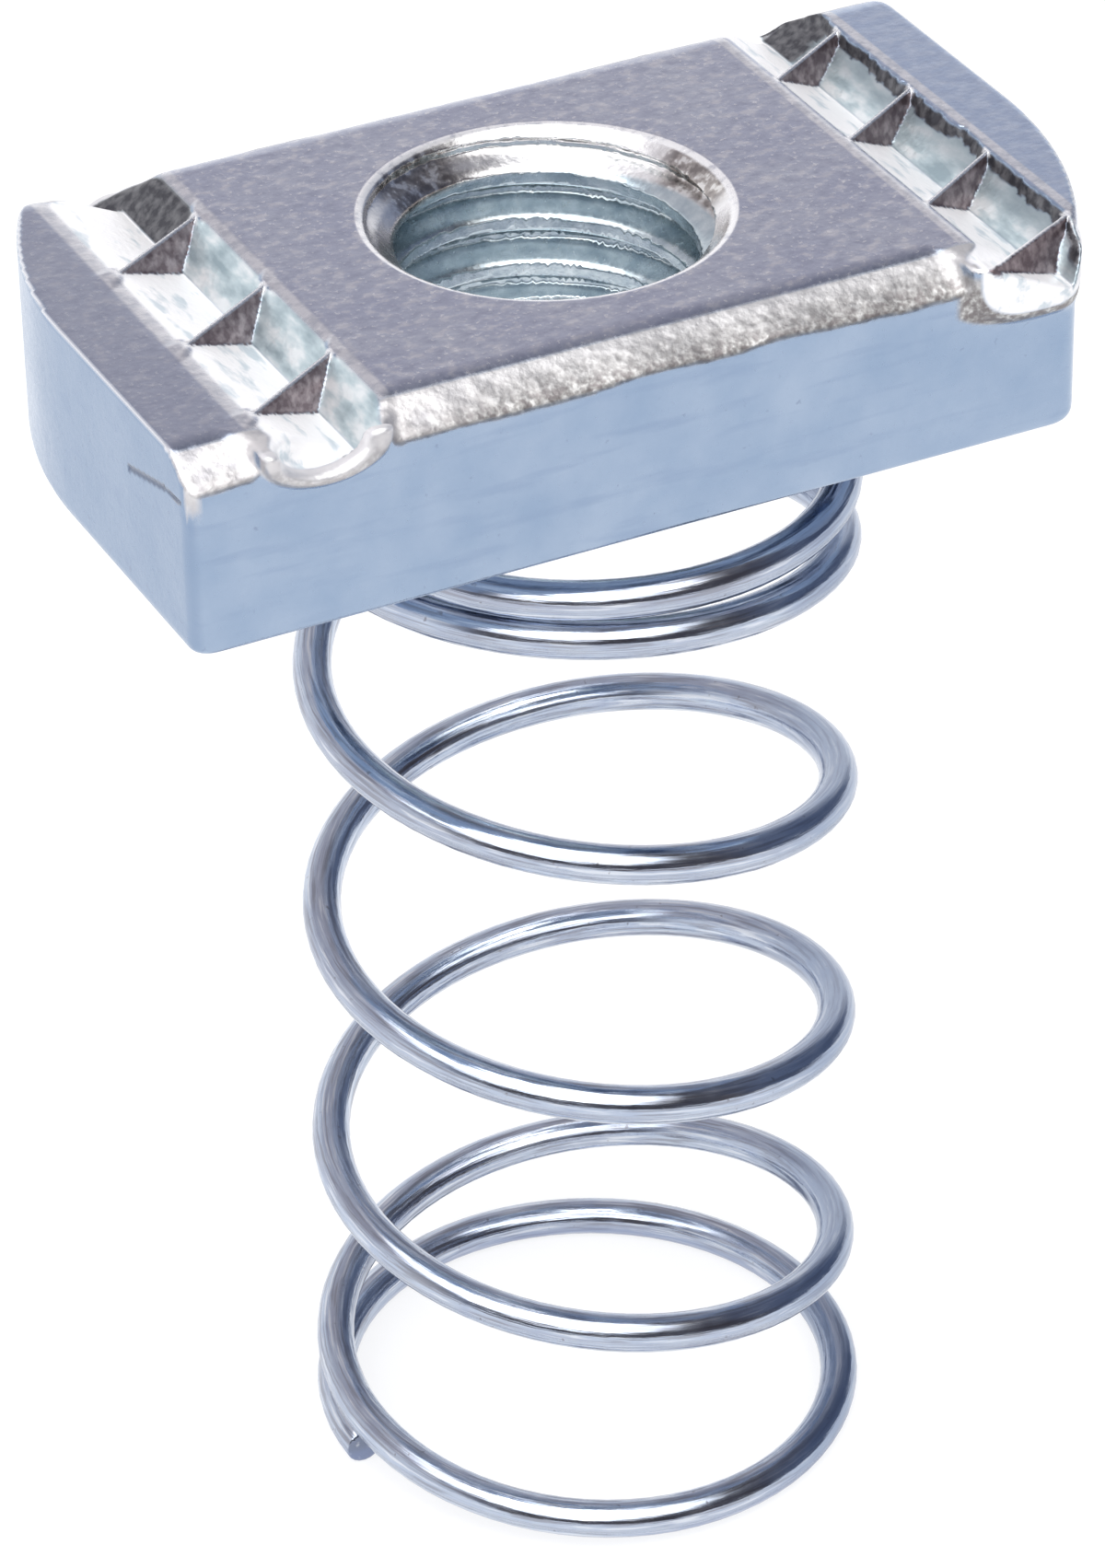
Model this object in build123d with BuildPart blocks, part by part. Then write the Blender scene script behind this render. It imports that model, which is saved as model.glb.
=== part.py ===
"""Long-spring channel nut: a toothed M12 nut on a left-handed compression spring.

Frame: origin on the thread's axis, on the surface that the spring stands on.
+X along the nut's length, +Y across its width, +Z up the spring and the thread.
Millimetres.
"""

from build123d import *

import os
from math import cos, pi, radians, sin, tan

# ---- nut: plan and section ----
nut_length = 35.0  # spans the channel once the nut is turned
nut_width = 20.0  # passes the channel's slot
nut_thickness = 7.1
end_corner_radius = 0.7  # upright edges of the two square corners
edge_slope_run = 1.55  # long top edges: how far the slope reaches in
edge_slope_drop = 1.0  # and how far it falls
under_edge_radius = 0.5  # long bottom edges

# ---- nut: thread ----
thread_minor_diameter = 10.2  # M12 x 1.75
thread_mouth_diameter = 12.5  # countersink at both ends of the thread
thread_mouth_angle = 90.0

# ---- nut: lip grooves and their teeth ----
groove_inner_x = 10.7  # edge of the middle plateau
groove_valley_x = 12.5
groove_outer_x = 14.7  # edge of the end strip
groove_depth = 1.45
tooth_pitch = 5.25  # along the groove
tooth_offset = 1.1  # where one tooth crosses the middle of the groove
tooth_skew = 32.5  # crest line, in plan, from the nut's length
tooth_crest_width = 0.14
tooth_crest_drop = 0.06  # crest below the top face
tooth_front_slope = 76.0  # flanks, from level
tooth_back_slope = 58.0
teeth_before, teeth_after = 2, 1  # on either side of the first one

# ---- nut: metal squeezed out where a groove meets a long face ----
squeeze_radius = 3.0
squeeze_stand_out = 0.65
squeeze_top_drop = 0.85
squeeze_height = 1.8
squeeze_taper = 24.0

# ---- spring ----
wire_diameter = 1.4  # across flats
wire_sides = 8  # few enough to keep the long coil light, with a flat underneath
spring_outer_diameter = 19.8
spring_offset_x = 0.6  # the spring's axis stands a little off the thread's
spring_offset_y = -0.4
spring_end_angle = 182.0  # where the wire starts, seen from above, anticlockwise from +X
flat_pitch = 0.0  # the foot, and the top turn against the nut
climb_pitch = 6.8  # where the wire leaves the foot
open_pitch = 9.9  # the long open turns
close_pitch = 1.45  # the turn that nests under the top one
step_pitch = 12.5  # the step up to the top turn
# how many turns from the foot each pitch is reached; it changes evenly in between
pitch_schedule = [
    (0.00, flat_pitch),
    (0.66, flat_pitch),
    (0.90, climb_pitch),
    (1.70, open_pitch),
    (4.50, open_pitch),
    (4.90, close_pitch),
    (5.86, close_pitch),
    (5.98, step_pitch),
    (6.10, flat_pitch),
    (6.62, flat_pitch),
]
points_per_turn = 12

# ---- how the nut holds the spring's top turn ----
seat_clearance = 0.1  # wire to underside, and wire to lug
lug_angles = (130.0, 50.0, -10.0)  # along the seated part of the top turn
lug_arc = 18.0
lug_wall = 1.1
lug_root = 0.7  # how far a lug's wall runs up into the nut
lug_toe = 0.55  # how far the staked toe reaches under the wire, past its middle
lug_toe_thickness = 0.45

cutter_overshoot = 1.0  # how far cutters pass the faces that they cut

# ---- worked out ----
wire_radius = wire_diameter / 2
coil_radius = spring_outer_diameter / 2 - wire_radius


def rise_to(turns):
    """Height gained from the foot to a number of turns up, by the pitch schedule."""
    rise = 0.0
    for (t0, p0), (t1, p1) in zip(pitch_schedule, pitch_schedule[1:]):
        if turns <= t0:
            break
        end = min(turns, t1)
        pitch_at_end = p0 + (p1 - p0) * (end - t0) / (t1 - t0)
        rise += (p0 + pitch_at_end) / 2 * (end - t0)
    return rise


def wire_centre(turns):
    """Point on the wire's centre line; the turns run clockwise going up: left-handed."""
    angle = radians(spring_end_angle - 360 * turns)
    return (
        spring_offset_x + coil_radius * cos(angle),
        spring_offset_y + coil_radius * sin(angle),
        wire_radius + rise_to(turns),
    )


total_turns = pitch_schedule[-1][0]
seat_wire_z = wire_radius + rise_to(total_turns)
underside_z = seat_wire_z + wire_radius + seat_clearance
top_z = underside_z + nut_thickness
groove_middle_x = (groove_inner_x + groove_outer_x) / 2

# ---- nut ----
with BuildPart() as lip_cutter:
    # One groove's void: a V running along Y, less the teeth that stand across it.
    inner_run = groove_valley_x - groove_inner_x
    outer_run = groove_outer_x - groove_valley_x
    over = 1 + cutter_overshoot / groove_depth
    with BuildSketch(Plane.XZ.offset(-nut_width)):
        with BuildLine():
            Polyline(
                (groove_valley_x - inner_run * over, top_z + cutter_overshoot),
                (groove_valley_x, top_z - groove_depth),
                (groove_valley_x + outer_run * over, top_z + cutter_overshoot),
                close=True,
            )
        make_face()
    extrude(amount=2 * nut_width)
    # Teeth, as prisms whose length follows the crest line.
    tooth_height = groove_depth + cutter_overshoot
    crest_z = top_z - tooth_crest_drop
    for i in range(-teeth_before, teeth_after + 1):
        tooth_plane = Plane(
            origin=(groove_middle_x, tooth_offset + i * tooth_pitch, crest_z),
            x_dir=(-sin(radians(tooth_skew)), cos(radians(tooth_skew)), 0),
            z_dir=(cos(radians(tooth_skew)), sin(radians(tooth_skew)), 0),
        )
        with BuildSketch(tooth_plane):
            with BuildLine():
                Polyline(
                    (-tooth_crest_width / 2, 0),
                    (
                        -tooth_crest_width / 2 - tooth_height / tan(radians(tooth_front_slope)),
                        -tooth_height,
                    ),
                    (
                        tooth_crest_width / 2 + tooth_height / tan(radians(tooth_back_slope)),
                        -tooth_height,
                    ),
                    (tooth_crest_width / 2, 0),
                    close=True,
                )
            make_face()
        extrude(amount=nut_width / 2, both=True, mode=Mode.SUBTRACT)

with BuildPart() as channel_nut:
    # Bar section, with its sloped long top edges and eased bottom edges.
    with BuildSketch(Plane.YZ.offset(-nut_length / 2)):
        with BuildLine():
            half = nut_width / 2
            Polyline(
                (-half, underside_z),
                (-half, top_z - edge_slope_drop),
                (-half + edge_slope_run, top_z),
                (half - edge_slope_run, top_z),
                (half, top_z - edge_slope_drop),
                (half, underside_z),
                close=True,
            )
        section = make_face()
        fillet(section.vertices().group_by(Axis.Y)[0], radius=under_edge_radius)
    extrude(amount=nut_length)
    # Plan: two opposite corners follow the circle that the nut turns in.
    with BuildSketch(Plane.XY.offset(underside_z)):
        Circle(nut_length / 2)
        Rectangle(nut_length / 2, nut_width / 2, align=(Align.MIN, Align.MIN))
        Rectangle(nut_length / 2, nut_width / 2, align=(Align.MAX, Align.MAX))
        plan = Rectangle(nut_length, nut_width, mode=Mode.INTERSECT)
        square_corners = plan.vertices().sort_by_distance((0, 0))[-2:]
        fillet(square_corners, radius=end_corner_radius)
    extrude(amount=nut_thickness, mode=Mode.INTERSECT)
    # Metal squeezed out over the long faces at the groove ends.
    squeeze_y = nut_width / 2 + squeeze_stand_out - squeeze_radius
    with BuildSketch(Plane.XY.offset(top_z - squeeze_top_drop)):
        with GridLocations(2 * groove_middle_x, 2 * squeeze_y, 2, 2):
            Circle(squeeze_radius)
    extrude(amount=-squeeze_height, taper=squeeze_taper)
    # Grooves: one, and the same turned half round.
    add(lip_cutter.part, mode=Mode.SUBTRACT)
    add(lip_cutter.part.rotate(Axis.Z, 180), mode=Mode.SUBTRACT)
    # Threaded hole at its minor diameter, countersunk at both ends.
    with Locations((0, 0, top_z)):
        CounterSinkHole(
            thread_minor_diameter / 2, thread_mouth_diameter / 2, counter_sink_angle=thread_mouth_angle
        )
    with Locations(Plane((0, 0, underside_z), z_dir=(0, 0, -1))):
        CounterSinkHole(
            thread_minor_diameter / 2, thread_mouth_diameter / 2, counter_sink_angle=thread_mouth_angle
        )
    # Staked lugs that hold the spring's top turn against the underside.
    spring_axis = Axis((spring_offset_x, spring_offset_y, 0), (0, 0, 1))
    for lug_angle in lug_angles:
        lug_plane = Plane(
            origin=spring_axis.position,
            x_dir=(cos(radians(lug_angle - lug_arc / 2)), sin(radians(lug_angle - lug_arc / 2)), 0),
            z_dir=(sin(radians(lug_angle - lug_arc / 2)), -cos(radians(lug_angle - lug_arc / 2)), 0),
        )
        wall_inner = coil_radius + wire_radius + seat_clearance
        toe_top = seat_wire_z - wire_radius - seat_clearance
        with BuildSketch(lug_plane):
            with BuildLine():
                Polyline(
                    (wall_inner, underside_z + lug_root),
                    (wall_inner, toe_top),
                    (coil_radius - lug_toe, toe_top),
                    (coil_radius - lug_toe + lug_toe_thickness, toe_top - lug_toe_thickness),
                    (wall_inner + lug_wall - lug_toe_thickness, toe_top - lug_toe_thickness),
                    (wall_inner + lug_wall, toe_top),
                    (wall_inner + lug_wall, underside_z + lug_root),
                    close=True,
                )
            make_face()
        revolve(axis=spring_axis, revolution_arc=lug_arc)
channel_nut.part.label = "channel_nut"

# ---- spring ----
with BuildPart() as spring:
    point_count = round(total_turns * points_per_turn)
    with BuildLine() as centre_line:
        Spline(*[wire_centre(total_turns * i / point_count) for i in range(point_count + 1)])
    wire = centre_line.edge()
    with BuildSketch(Plane(origin=wire @ 0, x_dir=(0, 0, 1), z_dir=wire % 0)):
        RegularPolygon(wire_radius, wire_sides, major_radius=False, rotation=180 / wire_sides)
    sweep(path=wire, is_frenet=True)
spring.part.label = "spring"

section_area = wire_sides * wire_radius**2 * tan(pi / wire_sides)
print("spring volume", spring.part.volume, "section x length", section_area * wire.length)
print("height", top_z, "free spring", seat_wire_z + wire_radius, "wire length", wire.length)

os.makedirs("parts", exist_ok=True)
export_step(channel_nut.part, "parts/channel_nut.step")
export_step(spring.part, "parts/spring.step")
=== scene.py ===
"""Strut spring nut: a zinc-plated, toothed channel nut on a long left-handed spring.

Same frame as the solids: origin on the thread's axis, on the surface that the spring stands on,
+X along the nut, +Z up.  The object's own sizes are in millimetres, as on a drawing; what goes
to Blender is in metres.
"""

import math

import bpy
import numpy as np
from mathutils import Matrix, Vector


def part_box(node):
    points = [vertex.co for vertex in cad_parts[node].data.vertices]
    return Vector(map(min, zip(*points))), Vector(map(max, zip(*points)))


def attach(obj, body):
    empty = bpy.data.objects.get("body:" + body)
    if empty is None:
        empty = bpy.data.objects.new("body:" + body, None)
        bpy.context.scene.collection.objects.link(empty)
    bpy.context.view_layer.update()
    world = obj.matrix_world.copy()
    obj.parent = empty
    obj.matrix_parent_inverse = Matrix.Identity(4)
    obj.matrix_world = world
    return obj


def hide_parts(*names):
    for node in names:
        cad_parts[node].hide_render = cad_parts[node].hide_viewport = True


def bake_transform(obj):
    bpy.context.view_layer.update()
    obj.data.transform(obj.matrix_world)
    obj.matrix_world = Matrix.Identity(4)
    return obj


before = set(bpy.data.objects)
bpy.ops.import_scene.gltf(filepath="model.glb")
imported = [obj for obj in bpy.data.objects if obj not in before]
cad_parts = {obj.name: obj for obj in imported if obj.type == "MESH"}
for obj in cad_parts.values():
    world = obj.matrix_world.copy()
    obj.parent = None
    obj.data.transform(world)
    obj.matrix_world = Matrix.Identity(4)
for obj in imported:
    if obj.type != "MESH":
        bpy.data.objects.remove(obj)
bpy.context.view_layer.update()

MM = 0.001
FAR_AWAY = 1e3  # a distance, mm, that never counts

# ---- nut, mm ----
nut_low, nut_high = (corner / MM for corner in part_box("channel_nut"))
TOP = nut_high.z
THICKNESS = 7.1
UNDERSIDE = TOP - THICKNESS
HALF_LENGTH = 17.5
HALF_WIDTH = 10.0
SLOPE_RUN = 1.45  # sheared slope along the long top edges
SLOPE_DROP = 0.98
SLOPE_WAVE = 0.16  # its lower edge wanders
SLOPE_GRAIN = 0.02  # and its surface is torn
NEAR_CORNER = 0.7  # upright edges of the square corners: the near one, and the far one
FAR_CORNER = 2.4
TURNED_ROUND = 0.5  # upright edges of the corners that follow the turning circle
TOP_EDGE_ROUND = 0.22
SLOPE_EDGE_ROUND = 0.3
LOW_EDGE_ROUND = 0.55

# ---- thread, mm: M12 x 1.75 ----
THREAD_PITCH = 1.75
THREAD_MINOR = 5.1  # radii
THREAD_MAJOR = 6.0
THREAD_ROOT_FLAT = THREAD_PITCH / 8
THREAD_CREST_FLAT = THREAD_PITCH / 4
MOUTH_RADIUS = 6.2
MOUTH_ROUND = 0.14
RING_WIDTH = 0.34  # the painted highlight round the hole's rim
# painted dark reflections on the mouth: middle and half spread, round the thread's axis
MOUTH_DARK_REFLECTIONS = [(math.radians(116), math.radians(24)), (math.radians(3), math.radians(24))]

# ---- lip grooves and their teeth, mm; the left groove, then the right one ----
# distances of the inner edge, the valley and the outer edge from the nut's middle
GROOVE_X = {-1: (10.3, 11.5, 14.35), 1: (11.15, 13.4, 15.7)}
GROOVE_DEPTH = 1.28
GROOVE_ROUND = {-1: 0.4, 1: 0.1}  # how far the edges of each are eased
CREST_ROUND = 0.08  # and the teeth's crests
WALL_X = 14.98  # the steep torn wall at the right groove's outer edge
WALL_SLOPE = math.radians(70)
WALL_TEAR = 0.13
TOOTH_MIDDLE = {-1: 12.3, 1: 13.1}  # a line along each groove, this far from the nut's middle
# each crest, as the right groove has it: where it crosses that line, and its angle from the length
TEETH = {
    -1: [(-4.04, 32.5), (1.41, 32.5), (6.49, 32.5)],
    1: [(-9.34, 27.0), (-4.39, 32.5), (0.89, 32.5), (5.98, 32.5)],
}
TOOTH_CREST_HALF = 0.05
TOOTH_CREST_DROP = 0.05
TOOTH_FRONT = math.radians(76)
TOOTH_BACK = {-1: math.radians(66), 1: math.radians(58)}
FACE_SIDE = (0.54, -0.84)  # the teeth's faces that look this way, in plan, are darkened in both grooves: partly the bare metal's own colour, partly painted shade

# ---- cups squeezed out where a groove meets a long face, mm: the left near one, the right near one ----
# each form: distance from the nut's middle, depth below the top, half width and half depth
CUP_OUTSIDE = {-1: (12.75, 0.35, 2.25, 1.33), 1: (13.1, 0.6, 2.75, 1.85)}
CUP_INSIDE = {-1: (13.1, 0.3, 1.65, 0.95), 1: (13.0, 0.5, 2.3, 1.5)}
CUP_SHADE_LINE = {1: (12.7, 0.6, 3.05, 1.75)}  # the painted shade line round the right cup ends about here
CUP_POWER = {-1: 2.0, 1: 2.8}  # 2 for an oval, more for a boxier one
CUP_START, CUP_FRONT = 8.4, 10.54  # distances from the nut's middle, across it
CUP_TOP = {-1: 0.1, 1: 1.4}  # how far the near and the far cups stay below the top face
CUP_BLEND = 0.5
LIP_START = 9.95  # from here out, the groove opens only inside the cup's inner outline
CUP_ROLL = {-1: 0.4, 1: 0.65}  # how far the lip's front edge is rolled over
SCOOP_START, SCOOP_WALL = 9.2, 0.35  # the left cup's hollow: where it starts, and its wall
CUP_ROUND = 17.6  # the right cup goes round the corner, this far from the thread's axis
CUP_FALL_START, CUP_FALL = 13.8, 0.5  # and its top falls away towards it
SCOOP_BLEND = 0.25
# how much a groove changes towards its cup of the right near kind, over a length from a start
END_WIDER, END_DEEPER, END_FURTHER, END_CLOSER = 0.6, 0.35, 0.7, 0.6
END_START, END_LENGTH = 8.6, 1.0

# ---- where the finish changes, mm ----
SHOULDERS = [(-10.12, 0.7), (-14.6, 0.8), (10.95, 0.5), (15.2, 0.5)]  # pale bands along the edges: middle, width
GROOVES_FROM = 9.0  # the grooves' finishes come no nearer to the middle
FAR_CELL = {-1: 5.3, 1: 7.6}  # the last far cell of each groove is dark from here
LIP_X, LIP_Y = 9.8, 9.7  # the right cup's lip starts here, along the nut and across it
# and past it all is white from here on, round the corner and down to this depth
ARM_X, ARM_Y, ARM_DEPTH = 14.55, 8.7, 2.0
# along the nut, from where it starts to where it is full: the left end's shade, the left strip,
# the right strip, the white end of the slopes, the shade on the right groove's flank
LEFT_END = (-17.1, -17.4)
LEFT_STRIP = (-14.3, -14.7)
RIGHT_STRIP = (14.8, 15.0)
BRIGHT_END = (-5.0, -11.0)
FLANK_SHADE = (13.6, 14.6)

# ---- marks, mm: two ends and a radius ----
GOUGES = [
    ((-17.55, -5.3, -2.35), (-17.55, -8.1, -1.65), 0.09),
    ((-17.55, -8.1, -1.65), (-17.5, -9.3, -1.55), 0.05),
    ((-15.6, -10.08, -4.9), (-15.9, -10.08, -5.4), 0.12),
]

# ---- spring, mm ----
WIRE_RADIUS = 0.7
WIRE_THIN = 0.02  # plating and drawing leave the wire this much under its nominal radius
COIL_RADIUS = 9.2
COIL_WAVE = [(0.7, 0.13), (8.0, -0.07), (33.0, -0.1), (41.2, -0.02)]  # height, and how far off that radius
SPRING_X, SPRING_Y = 0.6, -0.4  # the spring sits a little off the thread's axis
SPRING_START = math.radians(182)
PITCHES = [
    (0.00, 0.0),
    (0.66, 0.0),
    (0.90, 6.8),
    (1.70, 9.9),
    (4.50, 9.9),
    (4.90, 1.45),
    (5.86, 1.45),
    (5.98, 12.5),
    (6.10, 0.0),
    (6.62, 0.0),
]
TURNS = PITCHES[-1][0]
CLOSED_PITCH = 1.45
RINGS_PER_TURN = 72
RING_SIDES = 20
END_RINGS = [(0.05, 0.93), (0.09, 0.72)]  # cut ends: distance out, and share of the radius

# ---- lugs that hold the spring's top turn, mm ----
LUG_ANGLES = [math.radians(a) for a in (130, 50, -10)]
LUG_ARC = math.radians(18)
LUG_WALL = 1.1
LUG_TOE = 0.55
LUG_TOE_THICKNESS = 0.45
SEAT_CLEARANCE = 0.1

# ---- meshing, mm ----
# start, end and step of each stretch of grid lines; the fine ones are at the grooves and slopes
COARSE = 1.0
GRID = [
    [(-18.1, -15.5, 0.17), (-15.5, -9.9, 0.10), (-9.9, 9.9, 0.17), (9.9, 15.5, 0.10), (15.5, 18.1, 0.17)],
    [(-11.1, -8.2, 0.10), (-8.2, 8.2, 0.13), (8.2, 11.1, 0.12)],
    [(nut_low.z - 0.5, TOP - 2.5, 0.2), (TOP - 2.5, TOP + 0.4, 0.10)],
]
KEEP_SHARE = 0.56  # of the triangles, once flat stretches are merged
SETTLE_STEPS = 3  # moves of each point onto the surface
SETTLE_MOST = 0.12  # and the longest of them
PROBE = 0.02  # half the length over which a slope is measured


# ---------------------------------------------------------------- signed distance
def rounded_max(a, b, width):
    """Intersection of two distances, its edge rounded over a width."""
    overlap = np.maximum(width - np.abs(a - b), 0.0)
    return np.maximum(a, b) + overlap * overlap / (4 * width)


def rounded_min(a, b, width):
    """Union of two distances, the corner between them filled over a width."""
    return -rounded_max(-a, -b, width)


def smooth(share):
    """An even start and finish between 0 and 1."""
    share = np.clip(share, 0.0, 1.0)
    return share * share * (3 - 2 * share)


def lattice_noise(x, y, z, seed):
    """Value noise, -1 to 1, with one cell a unit."""
    xi, yi, zi = (np.floor(v).astype(np.int64) for v in (x, y, z))
    xf, yf, zf = x - xi, y - yi, z - zi
    xf, yf, zf = (f * f * (3 - 2 * f) for f in (xf, yf, zf))

    def corner(i, j, k):
        bits = (i * 374761393 + j * 668265263 + k * 2147483647 + seed * 1274126177) & 0xFFFFFFFF
        bits = ((bits ^ (bits >> 13)) * 1274126177) & 0xFFFFFFFF
        bits = (bits ^ (bits >> 16)) & 0xFFFFFF
        return bits / 0x7FFFFF - 1.0

    total = 0.0
    for di in (0, 1):
        wx = xf if di else 1 - xf
        for dj in (0, 1):
            wy = yf if dj else 1 - yf
            for dk in (0, 1):
                wz = zf if dk else 1 - zf
                total = total + wx * wy * wz * corner(xi + di, yi + dj, zi + dk)
    return total


def grain(where, *noises):
    """A sum of noises, worked out only where it is wanted; each is (share, x, y, z, seed)."""
    total = np.zeros_like(where)
    wanted = where > 0
    for share, x, y, z, seed in noises:
        total[wanted] += share * lattice_noise(x[wanted], y[wanted], z[wanted], seed)
    return total * where


def plan(x, y):
    """Outline seen from above: two square corners, and two that follow the turning circle."""
    straight = np.abs(x) - HALF_LENGTH
    turned = np.hypot(x, y) - HALF_LENGTH
    side = np.abs(y) - HALF_WIDTH
    near = rounded_max(straight, side, NEAR_CORNER)
    far = rounded_max(straight, side, FAR_CORNER)
    square = np.where(y < 0, near, far)
    follow = rounded_max(turned, side, TURNED_ROUND)
    return np.where(x * y > 0, square, follow)


def bar(x, y, z):
    """The bar, with its sloped, torn long top edges."""
    level = np.zeros_like(x)
    drop = SLOPE_DROP + SLOPE_WAVE * lattice_noise(x / 2.4 + 0.5, np.sign(y), level, 3)
    past = np.abs(y) - HALF_WIDTH + SLOPE_RUN
    slope = (past * drop + (z - TOP) * SLOPE_RUN) / np.hypot(SLOPE_RUN, drop)
    near_slope = smooth(past / 0.4) * smooth((z - TOP + 1.5) / 0.4)
    near_slope = near_slope * smooth((HALF_LENGTH - 0.3 - np.abs(x)) / 0.6)
    slope = slope - SLOPE_GRAIN * grain(
        near_slope, (1.0, x / 0.34, y / 0.3, z / 0.3, 5), (0.6, x / 0.8, y / 0.6, z / 0.6, 6)
    )
    outline = plan(x, y)
    body = rounded_max(z - TOP, slope, SLOPE_EDGE_ROUND)
    body = rounded_max(body, outline, TOP_EDGE_ROUND)
    return rounded_max(body, rounded_max(UNDERSIDE - z, outline, LOW_EDGE_ROUND), 0.01)


def basin(x, z, side, form):
    """Distance to the outline of one cup, seen from the front: an oval below, upright above."""
    middle, depth, half_x, half_z = form[side]
    across = np.abs(side * x - middle) / half_x
    down = np.maximum(TOP - depth - z, 0) / half_z
    power = CUP_POWER[side]
    return ((across**power + down**power) ** (1 / power) - 1) * min(half_x, half_z)


def cups(x, y, z):
    """The squeezed-out metal, the hollow in it, and the bar that the lip is to a groove."""
    bulge, scoop, lip = (np.full_like(x, FAR_AWAY) for _ in range(3))
    for side in (-1, 1):
        # a cup on the far face is the other groove's, turned half round
        for end in (-1, 1):
            cup = -side * end
            mine = side * x > 0
            outside = np.where(mine, basin(x * side * cup, z, cup, CUP_OUTSIDE), FAR_AWAY)
            inside = basin(x * side * cup, z, cup, CUP_INSIDE)
            out = end * y
            swell = rounded_max(outside, out - CUP_FRONT, CUP_ROLL[cup])
            swell = rounded_max(swell, CUP_START - out, 0.1)
            top = z - TOP + CUP_TOP[end]
            if cup > 0:
                swell = rounded_max(swell, np.hypot(x, y) - CUP_ROUND, CUP_ROLL[cup])
                top = top + CUP_FALL * np.maximum(np.abs(x) - CUP_FALL_START, 0)
            else:
                scoop = np.minimum(scoop, rounded_max(outside + SCOOP_WALL, SCOOP_START - out, 1.0))
            bulge = np.minimum(bulge, rounded_max(swell, top, 0.2))
            lip = np.minimum(lip, np.where(mine, np.maximum(LIP_START - out, -inside), FAR_AWAY))
    return bulge, scoop, lip


def tooth_distance(x, y, z, side):
    """Distance to the nearest of one groove's teeth."""
    u, v = side * x - TOOTH_MIDDLE[side], side * y
    depth = TOP - TOOTH_CREST_DROP - z
    nearest = np.full_like(u, FAR_AWAY)
    for place, angle in TEETH[side]:
        skew = math.radians(angle)
        past = math.cos(skew) * (v - place) - math.sin(skew) * u
        front = (-past - TOOTH_CREST_HALF) * math.sin(TOOTH_FRONT) - depth * math.cos(TOOTH_FRONT)
        back = (past - TOOTH_CREST_HALF) * math.sin(TOOTH_BACK[side]) - depth * math.cos(TOOTH_BACK[side])
        tooth = rounded_max(rounded_max(front, back, 0.05), -depth, 0.05)
        nearest = np.minimum(nearest, tooth)
    return nearest


def groove_section(y, side):
    """One lip groove's inner edge, valley, outer edge and depth, which change near one end."""
    inner, valley, outer = GROOVE_X[side]
    near_cup = smooth((-side * y - END_START) / END_LENGTH)
    return (
        inner - END_WIDER * near_cup,
        valley + END_FURTHER * near_cup,
        outer - END_CLOSER * near_cup,
        GROOVE_DEPTH + END_DEEPER * near_cup,
    )


def groove(x, y, z, side):
    """One lip groove's void, less its teeth."""
    inner, valley, outer, depth = groove_section(y, side)
    down = TOP - z
    u = side * x
    # each flank is a plane through its top edge and the valley
    inner_slope = depth / (valley - inner)
    outer_slope = depth / (outer - valley)
    inner_flank = (down - (u - inner) * inner_slope) / np.hypot(1, inner_slope)
    outer_flank = (down - (outer - u) * outer_slope) / np.hypot(1, outer_slope)
    void = rounded_max(inner_flank, outer_flank, 0.12)
    if side > 0:
        near_wall = (np.abs(u - WALL_X) < 1).astype(float)
        level = np.zeros_like(u)
        coarse = (1.0, y / 0.75, z / 1.2, level, 11)
        fine = (0.5, y / 0.3, z / 0.5, level, 12)
        tear = WALL_TEAR * grain(near_wall, coarse, fine)
        wall = (u - WALL_X - tear) * math.sin(WALL_SLOPE) + down * math.cos(WALL_SLOPE)
        void = rounded_max(void, wall, 0.06)
    return void


def groove_void(x, y, z, scoop, lip, side):
    """A groove and the scoops at its ends, as if it had no teeth."""
    void = rounded_min(groove(x, y, z, side), np.where(side * x > 0, scoop, FAR_AWAY), SCOOP_BLEND)
    return rounded_max(void, -lip, 0.3)


def thread_radius(x, y, z):
    """Radius of the threaded wall at a height and angle; right-handed."""
    phase = (z / THREAD_PITCH - np.arctan2(y, x) / (2 * math.pi)) % 1.0
    from_root = np.abs(phase - 0.5) * THREAD_PITCH
    flank_start = THREAD_ROOT_FLAT / 2
    flank_end = THREAD_PITCH / 2 - THREAD_CREST_FLAT / 2
    share = np.clip((from_root - flank_start) / (flank_end - flank_start), 0.0, 1.0)
    share = (share + smooth(share)) / 2
    return THREAD_MAJOR + (THREAD_MINOR - THREAD_MAJOR) * share


def bore(x, y, z):
    """The threaded hole with its two countersunk mouths."""
    rho = np.hypot(x, y)
    wall = (rho - thread_radius(x, y, z)) * 0.8
    upper_mouth = (rho - (MOUTH_RADIUS - (TOP - z))) * math.sqrt(0.5)
    lower_mouth = (rho - (MOUTH_RADIUS - (z - UNDERSIDE))) * math.sqrt(0.5)
    return rounded_min(wall, np.minimum(upper_mouth, lower_mouth), 0.1)


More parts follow.
